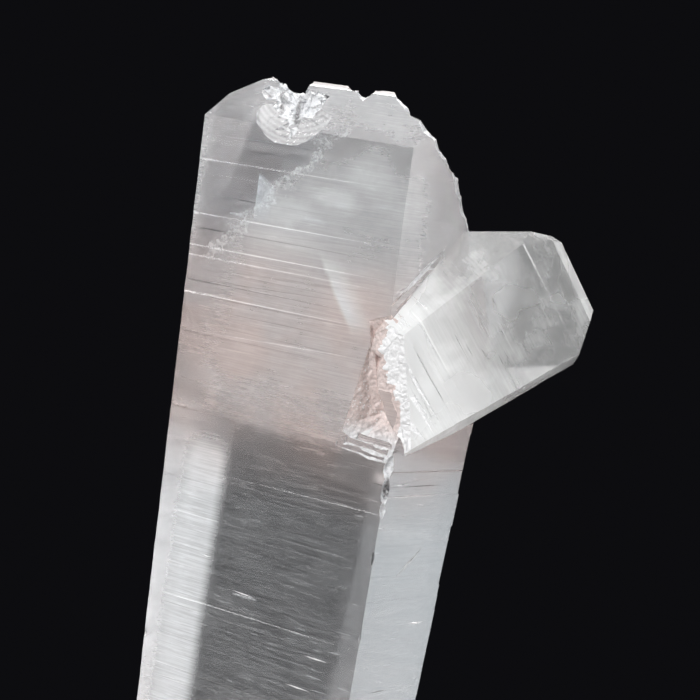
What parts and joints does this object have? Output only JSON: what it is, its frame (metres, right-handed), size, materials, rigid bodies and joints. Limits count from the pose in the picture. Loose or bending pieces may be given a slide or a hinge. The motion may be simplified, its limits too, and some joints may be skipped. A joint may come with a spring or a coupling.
{
  "type": "lemurian quartz crystal",
  "caption": "Clear to milky lemurian quartz point with fine ledges across its faces, a chipped chisel tip and a smaller crystal grown from its front right edge",
  "frame": {"origin": "the centre of the flat cut base", "axes": "+Z along the main crystal's growth line to its tip, +X to the side crystal, -Y to the front"},
  "size_m": [0.0719, 0.0708, 0.1834],
  "materials": {
    "quartz": "satin, finely ledged, clear with milky veils, broken glassy where chipped"
  },
  "bodies": {
    "root": {"quartz_crystal": "quartz"}
  },
  "joints": []
}
